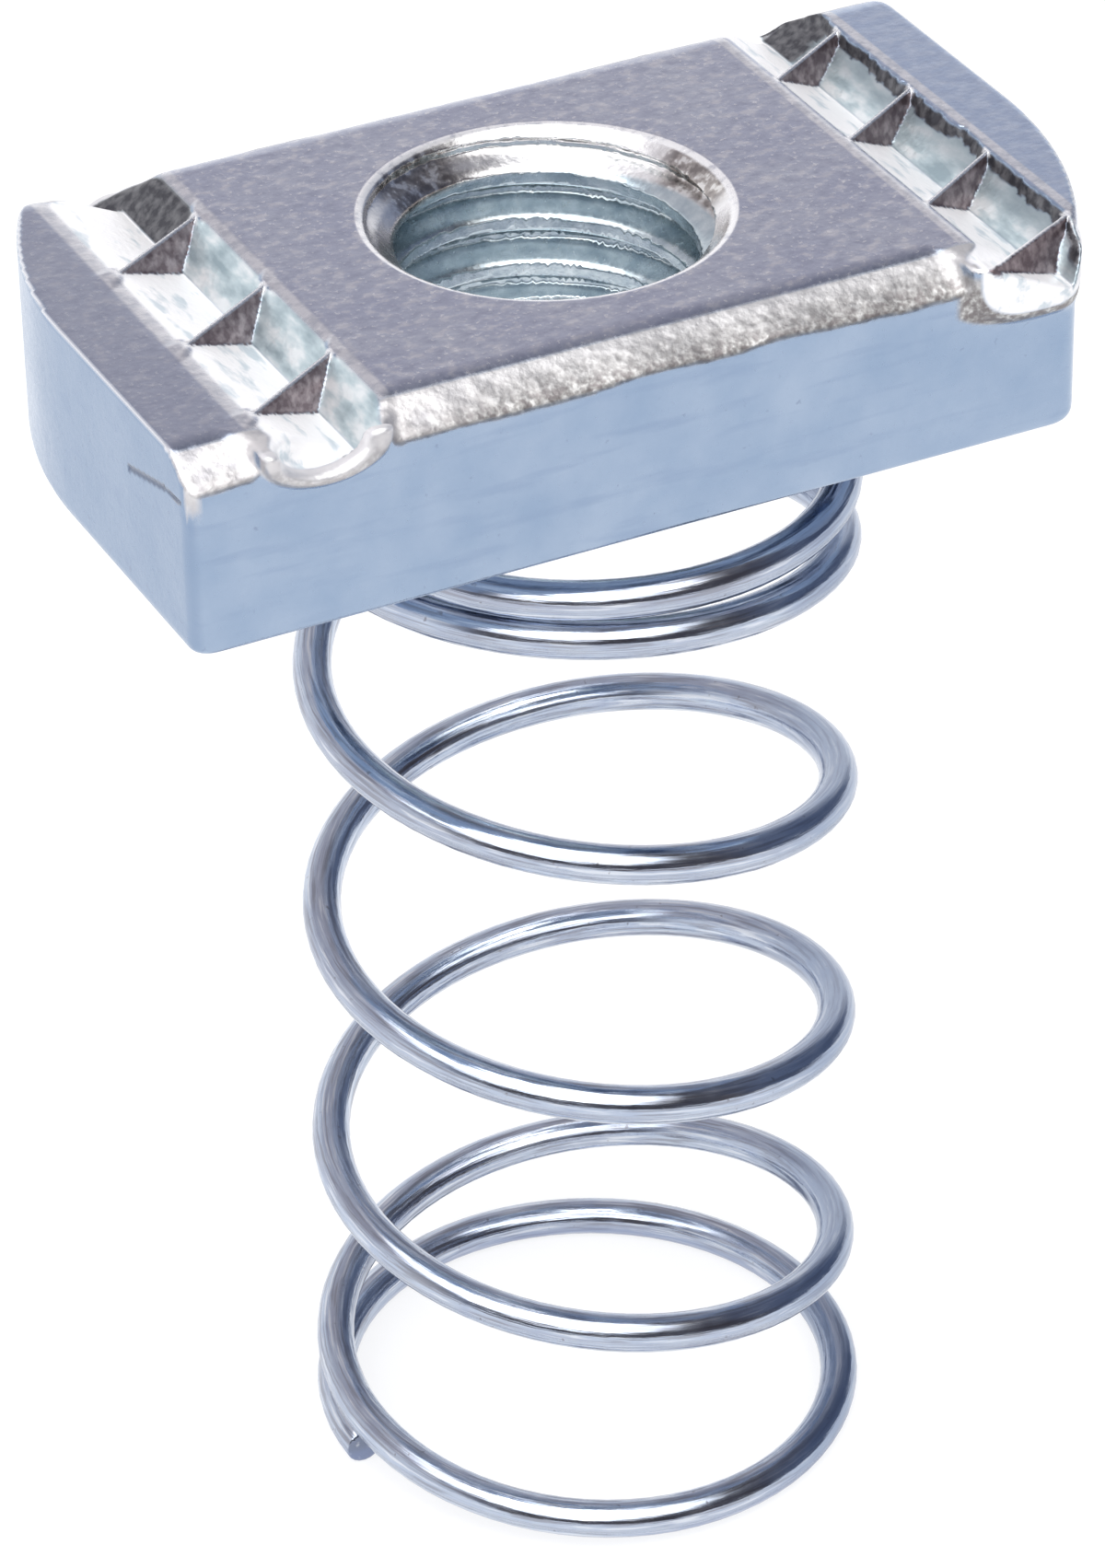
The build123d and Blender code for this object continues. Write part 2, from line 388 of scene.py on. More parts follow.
def lugs(x, y, z):
    """Three staked lugs round the spring's top turn."""
    rho = np.hypot(x - SPRING_X, y - SPRING_Y)
    angle = np.arctan2(y - SPRING_Y, x - SPRING_X)
    wall_inner = COIL_RADIUS + WIRE_RADIUS + SEAT_CLEARANCE
    toe_top = UNDERSIDE - 2 * (WIRE_RADIUS + SEAT_CLEARANCE)
    toe_bottom = toe_top - LUG_TOE_THICKNESS
    wall = np.maximum(np.maximum(wall_inner - rho, rho - wall_inner - LUG_WALL), toe_bottom - z)
    wall = np.maximum(wall, z - UNDERSIDE - WIRE_RADIUS)
    toe_lean = (COIL_RADIUS - LUG_TOE + (toe_top - z) - rho) * math.sqrt(0.5)
    toe = np.maximum(toe_lean, rho - wall_inner - LUG_WALL)
    toe = np.maximum(toe, np.maximum(z - toe_top, toe_bottom - z))
    toe = np.maximum(toe, (rho - wall_inner - LUG_WALL + (toe_top - z)) * math.sqrt(0.5))
    lug = np.minimum(wall, toe)
    nearest = np.full_like(lug, FAR_AWAY)
    for centre in LUG_ANGLES:
        turn = (angle - centre + math.pi) % (2 * math.pi) - math.pi
        nearest = np.minimum(nearest, rounded_max(lug, (np.abs(turn) - LUG_ARC / 2) * rho, 0.3))
    return nearest


def gouges(x, y, z):
    """Small dents, as capsules."""
    nearest = np.full_like(x, FAR_AWAY)
    for start, end, radius in GOUGES:
        origin = np.array(start) + (0, 0, TOP)
        along = np.array(end) + (0, 0, TOP) - origin
        offset = (x - origin[0], y - origin[1], z - origin[2])
        share = sum(offset[a] * along[a] for a in range(3)) / (along @ along)
        share = np.clip(share, 0, 1)
        gap = np.sqrt(sum((offset[a] - share * along[a]) ** 2 for a in range(3)))
        nearest = np.minimum(nearest, gap - radius)
    return nearest


def nut_distance(x, y, z):
    """Signed distance to the nut, mm, negative inside the metal."""
    bulge, scoop, lip = cups(x, y, z)
    solid = np.maximum(rounded_min(bar(x, y, z), bulge, CUP_BLEND), z - TOP)
    for side in (-1, 1):
        tooth = tooth_distance(x, y, z, side)
        void = rounded_max(groove_void(x, y, z, scoop, lip, side), -tooth, 0.06)
        # the crests stay crisp right across, while the long edges are eased
        ease = CREST_ROUND + (GROOVE_ROUND[side] - CREST_ROUND) * smooth((tooth - 0.1) / 0.4)
        solid = rounded_max(solid, -void, ease)
    solid = rounded_max(solid, -bore(x, y, z), MOUTH_ROUND)
    solid = rounded_max(solid, -gouges(x, y, z), 0.08)
    return np.minimum(solid, lugs(x, y, z))


# ---------------------------------------------------------------- meshing
def grid_lines(stretches):
    """One axis's grid lines, from its stretches."""
    lines = []
    for start, end, step in stretches:
        count = max(2, round((end - start) / (step * COARSE)))
        lines.append(np.linspace(start, end, count, endpoint=False))
    return np.concatenate(lines)


def surface_net(distance, axes):
    """Points and quads of the zero surface: one point in each grid cell that it crosses."""
    counts = [len(lines) for lines in axes]
    field = np.empty(counts, np.float32)
    y, z = np.meshgrid(axes[1], axes[2], indexing="ij")
    for i, x in enumerate(axes[0]):
        field[i] = distance(np.full_like(y, x), y, z)
    strides = np.array([counts[1] * counts[2], counts[2], 1])
    flat = field.ravel()
    cell_ids, cell_points, quads = [], [], []
    for axis in range(3):
        ahead = np.moveaxis(field, axis, 0)
        crossing = (ahead[:-1] < 0) != (ahead[1:] < 0)
        where = np.stack(np.nonzero(np.moveaxis(crossing, 0, axis)), axis=1)
        b, c = (axis + 1) % 3, (axis + 2) % 3
        where = where[(where[:, b] > 0) & (where[:, c] > 0)]
        start = where @ strides
        f0, f1 = flat[start], flat[start + strides[axis]]
        point = where.astype(float)
        point[:, axis] += f0 / (f0 - f1)
        around = [start, start - strides[b], start - strides[b] - strides[c], start - strides[c]]
        for cell in around:
            cell_ids.append(cell)
            cell_points.append(point)
        ring = np.stack(around, axis=1)
        quads.append(np.where((f0 < 0)[:, None], ring, ring[:, ::-1]))
    ids = np.concatenate(cell_ids)
    unique, index = np.unique(ids, return_inverse=True)
    points = np.concatenate(cell_points)
    total = np.bincount(index)
    means = [np.bincount(index, points[:, a]) / total for a in range(3)]
    verts = np.stack([np.interp(means[a], np.arange(counts[a]), axes[a]) for a in range(3)], axis=1)
    faces = np.searchsorted(unique, np.concatenate(quads))
    return verts, faces


def slopes(distance, points):
    """How fast the distance grows along x, y and z at each point."""
    out = []
    for a in range(3):
        shift = np.zeros(3)
        shift[a] = PROBE
        rise = distance(*(points + shift).T) - distance(*(points - shift).T)
        out.append(rise / (2 * PROBE))
    return np.stack(out, axis=1)


def settle(distance, points):
    """Moves points onto the zero surface."""
    for _ in range(SETTLE_STEPS):
        uphill = slopes(distance, points)
        size = np.maximum((uphill * uphill).sum(1), 0.2)
        step = distance(*points.T) / size
        step = np.clip(step, -SETTLE_MOST * COARSE, SETTLE_MOST * COARSE)
        points = points - step[:, None] * uphill
    return points


def mesh_object(name, verts, faces):
    mesh = bpy.data.meshes.new(name)
    mesh.vertices.add(len(verts))
    mesh.vertices.foreach_set("co", (verts * MM).astype(np.float32).ravel())
    mesh.loops.add(faces.size)
    mesh.loops.foreach_set("vertex_index", faces.astype(np.int32).ravel())
    mesh.polygons.add(len(faces))
    mesh.polygons.foreach_set("loop_start", np.arange(len(faces), dtype=np.int32) * faces.shape[1])
    mesh.polygons.foreach_set("loop_total", np.full(len(faces), faces.shape[1], np.int32))
    mesh.update(calc_edges=True)
    mesh.validate()
    mesh.shade_smooth()
    obj = bpy.data.objects.new(name, mesh)
    bpy.context.scene.collection.objects.link(obj)
    return obj


def merge_flats(obj, share):
    """Fewer triangles where the surface is flat."""
    modifier = obj.modifiers.new("fewer", "DECIMATE")
    modifier.ratio = share
    modifier.use_collapse_triangulate = True
    thinned = bpy.data.meshes.new_from_object(obj.evaluated_get(bpy.context.evaluated_depsgraph_get()))
    obj.modifiers.clear()
    dense, obj.data = obj.data, thinned
    bpy.data.meshes.remove(dense)
    thinned.name = obj.name


def points_of(obj):
    """Its points, in millimetres."""
    flat = np.empty(len(obj.data.vertices) * 3, np.float32)
    obj.data.vertices.foreach_get("co", flat)
    return flat.reshape(-1, 3).astype(float) / MM


def set_attribute(obj, name, values):
    attribute = obj.data.attributes.new(name, "FLOAT", "POINT")
    attribute.data.foreach_set("value", values.astype(np.float32))


# ---------------------------------------------------------------- the nut
def nut_masks(points, normals):
    """Where each kind of finish, painted highlight and painted shade is, 0 to 1 at each point."""
    x, y, z = points.T
    nx, ny, nz = normals.T
    depth = TOP - z
    rho = np.hypot(x, y)
    bulge, scoop, lip = cups(x, y, z)
    on_lip = smooth((np.abs(y) - LIP_START + 0.05) / 0.15) * smooth((0.15 - bulge) / 0.1)
    # on the far face only the metal that stands proud is torn
    on_lip = on_lip * np.where(y > 0, smooth((y - HALF_WIDTH - 0.06) / 0.08), 1)
    on_roll = on_lip * smooth((nz - 0.1) / 0.25)
    # the right cup's lip is smooth and white, with a line of painted shade along its lower edge
    inside = basin(np.abs(x), z, 1, CUP_INSIDE)
    rim = basin(np.abs(x), z, 1, CUP_SHADE_LINE)
    right_lip = (x > 0) * smooth((x - LIP_X) / 0.3) * smooth((np.abs(y) - LIP_Y) / 0.15)
    line = right_lip * smooth(inside / 0.1) * smooth((0.2 - rim) / 0.15) * smooth((depth - 0.3) / 0.3)
    arm = smooth((x - ARM_X) / 0.1) * smooth((-y - ARM_Y) / 0.2) * smooth((ARM_DEPTH - depth) / 0.2)
    white_lip = np.maximum(right_lip * smooth((0.1 - inside) / 0.1), arm)
    on_lip = np.where(x > 0, line, on_lip)
    keys = ("tooth_face", "white_flank", "teal_flank", "torn_wall", "far_cell", "crest")
    masks = {key: np.zeros_like(x) for key in keys}
    for side in (-1, 1):
        u = side * x
        mine = (u > GROOVES_FROM) * smooth((2.6 - depth) / 0.2) * smooth((nz + 0.3) / 0.2)
        mine = mine * (1 - on_lip)
        tooth = tooth_distance(x, y, z, side)
        void = groove_void(x, y, z, scoop, lip, side)
        sunk = mine * smooth((0.14 - void) / 0.06) * smooth((depth - 0.06) / 0.06)
        on_tooth = smooth((0.11 - np.abs(tooth)) / 0.04)
        towards = smooth((FACE_SIDE[0] * nx + FACE_SIDE[1] * ny - 0.3) / 0.1)
        masks["tooth_face"] += sunk * on_tooth * towards
        flank = sunk * (1 - on_tooth * towards)
        wall = smooth((u - WALL_X + 0.62) / 0.1) * smooth((-nx - 0.72) / 0.1) if side > 0 else 0 * x
        masks["torn_wall"] += flank * wall
        outer = smooth((u - groove_section(y, side)[1]) / 0.06 + 0.5)
        white = outer if side < 0 else 1 - outer
        masks["white_flank"] += flank * white
        masks["teal_flank"] += flank * (1 - white) * (1 - wall)
        far = smooth((y - FAR_CELL[side]) / 0.2)
        masks["far_cell"] += flank * far * (1 - white)
        low = smooth((0.24 - depth) / 0.06)
        on_crest = smooth((0.14 - np.abs(tooth)) / 0.05) * smooth((0.12 - void) / 0.06)
        masks["crest"] += mine * low * on_crest
    white_lip = white_lip * (1 - masks["tooth_face"]) * (1 - masks["teal_flank"])
    masks["white_flank"] = np.maximum(masks["white_flank"], white_lip)
    in_groove = sum(masks[key] for key in ("tooth_face", "white_flank", "teal_flank", "torn_wall"))
    in_groove = np.clip(in_groove, 0, 1)
    masks["cone"] = smooth((MOUTH_RADIUS - rho) / 0.1) * smooth((1.3 - depth) / 0.1)
    masks["bore"] = smooth((MOUTH_RADIUS - rho) / 0.1)
    azimuth = np.arctan2(y, x)
    for middle, spread in MOUTH_DARK_REFLECTIONS:
        off = np.abs((azimuth - middle + math.pi) % (2 * math.pi) - math.pi)
        masks["mouth_dark_reflection"] = masks.get("mouth_dark_reflection", 0) + smooth((spread - off) / 0.2) * masks["cone"]
    sheared = smooth((np.abs(y) - HALF_WIDTH + SLOPE_RUN - 0.05) / 0.15) * smooth((nz - 0.2) / 0.25)
    corner = smooth((np.abs(x) - HALF_LENGTH + 0.45) / 0.15)
    corner = corner * smooth((np.abs(y) - HALF_WIDTH + 0.45) / 0.15)
    corner = corner * smooth((2.0 - depth) / 0.5) * (x * y > 0)
    torn = np.clip(sheared * smooth((2.4 - depth) / 0.3) + on_lip + corner, 0, 1)
    masks["sheared"] = torn * (1 - in_groove)
    masks["top"] = smooth((nz - 0.85) / 0.1) * smooth((0.25 - depth) / 0.1) * (1 - masks["sheared"])
    perimeter = smooth((plan(x, y) + 0.3) / 0.1) * smooth((nz - 0.25) / 0.15) * smooth((0.93 - nz) / 0.1)
    perimeter = perimeter * smooth((0.3 - depth) / 0.1)
    # painted highlights: the left lip's upward-facing roll, the teeth's crests, the near corners and the
    # rounded top edges
    bright = on_roll * (x < 0) * 0.8 + masks["crest"] + 0.4 * corner + perimeter
    masks["edge_highlight"] = np.clip(bright, 0, 1) * (1 - masks["tooth_face"])
    masks["scratch"] = smooth((0.07 - np.abs(gouges(x, y, z))) / 0.05) * (x < -17)
    # painted shade low on the torn slopes and lips, except on the lip's upward-facing roll
    masks["shaded_low_edge"] = smooth((depth - 0.5) / 0.5) * masks["sheared"] * (1 - on_roll)
    return masks


def make_nut():
    verts, faces = surface_net(nut_distance, [grid_lines(stretches) for stretches in GRID])
    nut = mesh_object("nut_body", settle(nut_distance, verts), faces)
    merge_flats(nut, KEEP_SHARE)
    points = settle(nut_distance, points_of(nut))
    nut.data.vertices.foreach_set("co", (points * MM).astype(np.float32).ravel())
    normals = slopes(nut_distance, points)
    normals /= np.linalg.norm(normals, axis=1)[:, None]
    nut.data.shade_smooth()
    nut.data.normals_split_custom_set_from_vertices(normals.tolist())
    for key, values in nut_masks(points, normals).items():
        set_attribute(nut, key, np.clip(values, 0, 1))
    nut.data.materials.append(zinc_material("zinc_nut"))
    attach(nut, "nut")
    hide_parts("channel_nut")
    print("nut triangles", sum(len(poly.vertices) - 2 for poly in nut.data.polygons))
    return nut


# ---------------------------------------------------------------- the spring
def rise_to(turns):
    """Height gained from the foot to a number of turns up."""
    rise = 0.0
    for (t0, p0), (t1, p1) in zip(PITCHES, PITCHES[1:]):
        if turns <= t0:
            break
        end = min(turns, t1)
        pitch_at_end = p0 + (p1 - p0) * (end - t0) / (t1 - t0)
        rise += (p0 + pitch_at_end) / 2 * (end - t0)
    return rise


def wire_centre(turns):
    """Point on the wire's centre line; the turns run clockwise going up: left-handed."""
    angle = SPRING_START - 2 * math.pi * turns
    height = WIRE_RADIUS + rise_to(turns)
    radius = COIL_RADIUS + np.interp(height, *zip(*COIL_WAVE))
    return np.array([SPRING_X + radius * math.cos(angle), SPRING_Y + radius * math.sin(angle), height])


def give(turns):
    """How much of the spring's squeeze is taken below this point: 0 at the foot, 1 at the nut."""
    steps = 2000
    t = np.linspace(0, TURNS, steps + 1)
    rise = np.array([rise_to(v) for v in t])
    local = np.maximum(np.diff(rise) - CLOSED_PITCH * TURNS / steps, 0)
    total = np.concatenate([[0], np.cumsum(local)])
    return np.interp(turns, t, total / total[-1])


def make_spring():
    rings = round(TURNS * RINGS_PER_TURN)
    turns = np.linspace(0, TURNS, rings + 1)
    centre = np.array([wire_centre(t) for t in turns])
    tangent = np.gradient(centre, axis=0)
    tangent /= np.linalg.norm(tangent, axis=1)[:, None]
    radial = (centre - (SPRING_X, SPRING_Y, 0)) * (1, 1, 0)
    upward = np.cross(radial, tangent)
    upward /= np.linalg.norm(upward, axis=1)[:, None]
    upward *= np.sign(upward[:, 2:3])
    outward = np.cross(upward, tangent)
    outward *= np.sign((outward * radial).sum(1))[:, None]
    along = np.concatenate([[0], np.cumsum(np.linalg.norm(np.diff(centre, axis=0), axis=1))])
    share = give(turns)
    # cut ends: rings that close in, then a point in the middle
    order = [0] * len(END_RINGS) + list(range(rings + 1)) + [rings] * len(END_RINGS)
    end_out, end_size = (list(values) for values in zip(*END_RINGS))
    offsets = [-out for out in end_out[::-1]] + [0.0] * (rings + 1) + end_out
    sizes = end_size[::-1] + [1.0] * (rings + 1) + end_size
    centre, tangent, upward, outward = (a[order] for a in (centre, tangent, upward, outward))
    along, share = along[order], share[order]
    centre = centre + np.array(offsets)[:, None] * tangent
    around = 2 * math.pi * np.arange(RING_SIDES) / RING_SIDES
    radius = (WIRE_RADIUS - WIRE_THIN) * np.array(sizes)[:, None, None]
    verts = (
        centre[:, None, :]
        + radius * np.cos(around)[None, :, None] * outward[:, None, :]
        + radius * np.sin(around)[None, :, None] * upward[:, None, :]
    ).reshape(-1, 3)
    count = len(centre)
    i = np.arange(count - 1)[:, None] * RING_SIDES
    j = np.arange(RING_SIDES)[None, :]
    k = (j + 1) % RING_SIDES
    quads = np.stack([i + j, i + RING_SIDES + j, i + RING_SIDES + k, i + k], axis=2).reshape(-1, 4)
    first, last = len(verts), len(verts) + 1
    verts = np.vstack([verts, centre[0], centre[-1]])
    base = (count - 1) * RING_SIDES
    # the end fans are quads of two fan triangles each, so that every face has four corners
    pairs = np.arange(0, RING_SIDES, 2)
    after = (pairs + 2) % RING_SIDES
    start_fan = np.stack([np.full_like(pairs, first), pairs, pairs + 1, after], axis=1)
    end_fan = np.stack([np.full_like(pairs, last), base + after, base + pairs + 1, base + pairs], axis=1)
    spring = mesh_object("spring_wire", verts, np.vstack([quads, start_fan, end_fan]))
    ring_along = np.concatenate([np.repeat(along, RING_SIDES), [along[0], along[-1]]])
    set_attribute(spring, "along", ring_along)
    set_attribute(spring, "around", np.concatenate([np.tile(around, count), [0, 0]]))
    cut = np.concatenate([np.repeat((np.array(offsets) != 0).astype(float), RING_SIDES), [1, 1]])
    set_attribute(spring, "cut", cut)
    spring.data.materials.append(wire_material("zinc_wire"))
    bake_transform(spring)
    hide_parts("spring")
    return spring


# ---------------------------------------------------------------- materials
class Nodes:
    """Short-hand for building a node tree."""

    def __init__(self, tree):
        self.tree = tree
        tree.nodes.clear()

    def add(self, kind, inputs=None, **settings):
        node = self.tree.nodes.new(kind)
        for key, value in settings.items():
            setattr(node, key, value)
        for key, value in (inputs or {}).items():
            if isinstance(value, bpy.types.NodeSocket):
                self.tree.links.new(value, node.inputs[key])
            else:
                node.inputs[key].default_value = value
        return node

    def ramp(self, factor, stops, **settings):
        node = self.add("ShaderNodeValToRGB", {"Fac": factor})
        ramp = node.color_ramp
        for key, value in settings.items():
            setattr(ramp, key, value)
        while len(ramp.elements) < len(stops):
            ramp.elements.new(0.5)
        for element, (position, colour) in zip(ramp.elements, stops):
            element.position = position
            element.color = (*colour, 1) if isinstance(colour, tuple) else (colour, colour, colour, 1)
        return node.outputs["Color"]

    def mix(self, factor, a, b, blend="MIX"):
        node = self.add("ShaderNodeMix", data_type="RGBA", blend_type=blend)
        for key, value in (("Factor_Float", factor), ("A_Color", a), ("B_Color", b)):
            socket = next(s for s in node.inputs if s.identifier == key)
            if isinstance(value, bpy.types.NodeSocket):
                self.tree.links.new(value, socket)
            else:
                socket.default_value = (*value, 1) if isinstance(value, tuple) else value
        return next(s for s in node.outputs if s.identifier == "Result_Color")

    def math(self, operation, a, b=0.0):
        return self.add("ShaderNodeMath", {0: a, 1: b}, operation=operation).outputs[0]

    def span(self, value, start, end):
        """0 at start, 1 at end."""
        ends = {"From Min": min(start, end), "From Max": max(start, end)}
        ends.update({"To Min": 0.0, "To Max": 1.0} if end > start else {"To Min": 1.0, "To Max": 0.0})
        inputs = {"Value": value, **ends}
        return self.add("ShaderNodeMapRange", inputs, interpolation_type="SMOOTHSTEP").outputs[0]

    def band(self, value, middle, width):
        """1 along a line at middle, fading to 0 at half the width on either side."""
        off = self.math("ABSOLUTE", self.math("SUBTRACT", value, middle))
        return self.span(off, width / 2, width / 4)

    def noise(self, vector, scale, detail=2.0, stretch=(1, 1, 1)):
        if stretch != (1, 1, 1):
            stretched = self.add("ShaderNodeVectorMath", {0: vector, 1: stretch}, operation="MULTIPLY")
            vector = stretched.outputs[0]
        inputs = {"Vector": vector, "Scale": scale, "Detail": detail}
        return self.add("ShaderNodeTexNoise", inputs).outputs["Fac"]

    def place(self, vector):
        """x, y and z of a place, in millimetres."""
        parts = self.add("ShaderNodeSeparateXYZ", {0: vector}).outputs
        return [self.math("DIVIDE", parts[a], MM) for a in range(3)]

    def largest(self, first, *others):
        for other in others:
            first = self.math("MAXIMUM", first, other)
        return first


def zinc_material(name):
    """Blue-passivated zinc: clean and even on the sides, rubbed on top, torn white on the slopes."""
    material = bpy.data.materials.new(name)
    material.use_nodes = True
    n = Nodes(material.node_tree)
    position = n.add("ShaderNodeTexCoord").outputs["Object"]
    keys = (
        "tooth_face", "white_flank", "teal_flank", "torn_wall", "far_cell", "cone", "bore",
        "mouth_dark_reflection", "sheared", "shaded_low_edge", "top", "edge_highlight", "scratch",
    )
    mask = {key: n.add("ShaderNodeAttribute", attribute_name=key).outputs["Fac"] for key in keys}
    x, y, z = n.place(position)
    flat = n.span(z, TOP - 0.03, TOP - 0.01)
    rho = n.math("SQRT", n.math("ADD", n.math("MULTIPLY", x, x), n.math("MULTIPLY", y, y)))
    ring = n.band(rho, MOUTH_RADIUS + 0.03, RING_WIDTH)
    ring = n.math("MULTIPLY", ring, n.span(z, TOP - 0.35, TOP - 0.25))
    fine = n.noise(position, 5200.0, 3.0)
    grain = n.noise(position, 2600.0, 3.0)
    lumps = n.noise(position, 1500.0, 2.0)
    mottle = n.noise(position, 420.0, 4.0)
    streaks = n.noise(position, 900.0, 3.0, (0.22, 1.0, 1.6))
    rubbed = n.noise(position, 2100.0, 4.0, (0.8, 1.0, 1.0))
    drawn = n.noise(position, 1700.0, 3.0, (1.0, 0.35, 1.0))

    # the sides: even blue with faint darker streaks and specks
    side = n.ramp(mottle, [(0.3, (0.300, 0.390, 0.525)), (0.7, (0.372, 0.455, 0.580))])
    side = n.mix(n.math("MULTIPLY", n.span(x, *LEFT_END), 0.5), side, (0.24, 0.32, 0.45))
    side = n.mix(n.ramp(streaks, [(0.54, 0.0), (0.74, 0.55)]), side, (0.25, 0.33, 0.47))
    side = n.mix(n.ramp(grain, [(0.68, 0.0), (0.76, 0.5)]), side, (0.22, 0.27, 0.38))
    # the top: rubbed, flecked
    top = n.ramp(mottle, [(0.3, (0.425, 0.448, 0.558)), (0.7, (0.50, 0.522, 0.61))])
    top = n.mix(n.ramp(rubbed, [(0.52, 0.0), (0.66, 0.6)]), top, (0.70, 0.69, 0.72))
    top = n.mix(n.ramp(rubbed, [(0.34, 0.6), (0.47, 0.0)]), top, (0.36, 0.38, 0.48))
    top = n.mix(n.ramp(fine, [(0.60, 0.0), (0.70, 0.5)]), top, (0.88, 0.86, 0.86))
    top = n.mix(n.math("MULTIPLY", n.span(x, *LEFT_STRIP), 0.5), top, (0.34, 0.37, 0.46))
    strip = n.ramp(rubbed, [(0.4, (0.42, 0.50, 0.66)), (0.7, (0.54, 0.61, 0.74))])
    top = n.mix(n.span(x, *RIGHT_STRIP), top, strip)
    for edge, width in SHOULDERS:
        shoulder = n.math("MULTIPLY", n.band(x, edge, width), 0.8)
        top = n.mix(shoulder, top, n.ramp(grain, [(0.35, (0.62, 0.63, 0.67)), (0.6, (0.86, 0.85, 0.86))]))
    colour = n.mix(mask["top"], side, top)
    crumbs = n.math("MULTIPLY", n.math("ADD", grain, fine), 0.5)
    torn = n.ramp(crumbs, [(0.4, (0.34, 0.33, 0.33)), (0.5, (0.42, 0.41, 0.41)), (0.6, (0.51, 0.5, 0.5))])
    # low: the torn metal darker low down, as painted shade
    low = [(0.42, (0.22, 0.2, 0.2)), (0.54, (0.36, 0.35, 0.34)), (0.64, (0.6, 0.59, 0.58))]
    low = n.ramp(crumbs, low)
    bright_end = n.span(x, *BRIGHT_END)
    # the torn metal lighter near the top, as a painted highlight
    torn = n.mix(n.math("MULTIPLY", n.span(z, TOP - 0.55, TOP - 0.2), 0.6), torn, (0.64, 0.63, 0.64))
    torn = n.mix(bright_end, torn, n.ramp(lumps, [(0.35, (0.48, 0.47, 0.49)), (0.6, (0.68, 0.66, 0.66))]))
    low = n.mix(n.math("MULTIPLY", bright_end, 0.6), low, torn)
    colour = n.mix(mask["sheared"], colour, n.mix(mask["shaded_low_edge"], torn, low))
    # the hole: grey-blue thread; on the mouth a painted white reflection with two painted dark reflections
    thread = n.ramp(lumps, [(0.35, (0.46, 0.54, 0.59)), (0.65, (0.64, 0.71, 0.74))])
    colour = n.mix(mask["bore"], colour, thread)
    mouth = n.ramp(lumps, [(0.35, (0.92, 0.91, 0.91)), (0.6, (0.98, 0.97, 0.97))])
    colour = n.mix(mask["cone"], colour, mouth)
    dark_reflection_colour = [(0.38, (0.16, 0.13, 0.12)), (0.52, (0.42, 0.38, 0.35)), (0.62, (0.85, 0.83, 0.80))]
    dark_reflection_colour = n.ramp(grain, dark_reflection_colour)
    colour = n.mix(n.math("MULTIPLY", mask["mouth_dark_reflection"], 0.85), colour, dark_reflection_colour)
    # the grooves: one flank white and one grey-green, partly the pressed metal's own colour and partly
    # painted light and shade; the teeth's faces brown-black, partly bare metal and partly painted shade
    white = n.ramp(drawn, [(0.34, (0.62, 0.68, 0.72)), (0.46, (0.95, 0.94, 0.94))])
    colour = n.mix(mask["white_flank"], colour, white)
    teal = [(0.34, (0.34, 0.43, 0.47)), (0.50, (0.56, 0.66, 0.69)), (0.64, (0.84, 0.88, 0.89))]
    teal = n.ramp(drawn, teal)
    teal = n.mix(n.math("MULTIPLY", n.span(x, *FLANK_SHADE), 0.7), teal, (0.26, 0.30, 0.33))
    colour = n.mix(mask["teal_flank"], colour, teal)
    face = n.ramp(grain, [(0.4, (0.11, 0.08, 0.09)), (0.65, (0.28, 0.23, 0.24))])
    colour = n.mix(mask["tooth_face"], colour, face)
    # the torn wall darkened as painted shade, and the far cells made dark
    dark = n.math("MAXIMUM", mask["torn_wall"], mask["far_cell"])
    colour = n.mix(mask["scratch"], colour, (0.13, 0.16, 0.23))
    colour = n.mix(dark, colour, n.ramp(grain, [(0.4, (0.06, 0.06, 0.07)), (0.65, (0.17, 0.17, 0.18))]))
    # painted highlights on the edges, and round the hole's rim
    edge_highlight = n.math("MULTIPLY", n.math("MULTIPLY", mask["edge_highlight"], n.math("SUBTRACT", 1.0, flat)), 0.85)
    edge_highlight = n.math("MAXIMUM", edge_highlight, n.math("MULTIPLY", ring, n.ramp(grain, [(0.30, 0.55), (0.48, 1.0)])))
    colour = n.mix(edge_highlight, colour, (0.86, 0.85, 0.86))

    pressed = [mask[name] for name in ("white_flank", "teal_flank", "sheared", "tooth_face")]
    pressed = n.largest(*pressed, dark)
    rough = n.ramp(fine, [(0.3, 0.18), (0.7, 0.28)])
    rough = n.mix(pressed, rough, (0.42, 0.42, 0.42))
    # torn and pressed metal scatters the light, so it looks whiter than the smooth plating
    scattering = ((mask["white_flank"], 0.7), (pressed, 0.3), (edge_highlight, 0.4))
    matt = n.largest(*(n.math("MULTIPLY", part, share) for part, share in scattering))
    metal = n.math("SUBTRACT", 1.0, matt)
    strength = n.add("ShaderNodeMapRange", {"Value": pressed, "To Min": 0.12, "To Max": 0.36})
    height = n.math("ADD", fine, n.math("MULTIPLY", lumps, 2.0))
    relief = {"Height": height, "Strength": strength.outputs[0], "Distance": 0.00005}
    bump = n.add("ShaderNodeBump", relief)
    shader = n.add(
        "ShaderNodeBsdfPrincipled",
        {"Base Color": colour, "Roughness": rough, "Metallic": metal, "Normal": bump.outputs[0]},
    )
    n.add("ShaderNodeOutputMaterial", {"Surface": shader.outputs[0]})
    return material


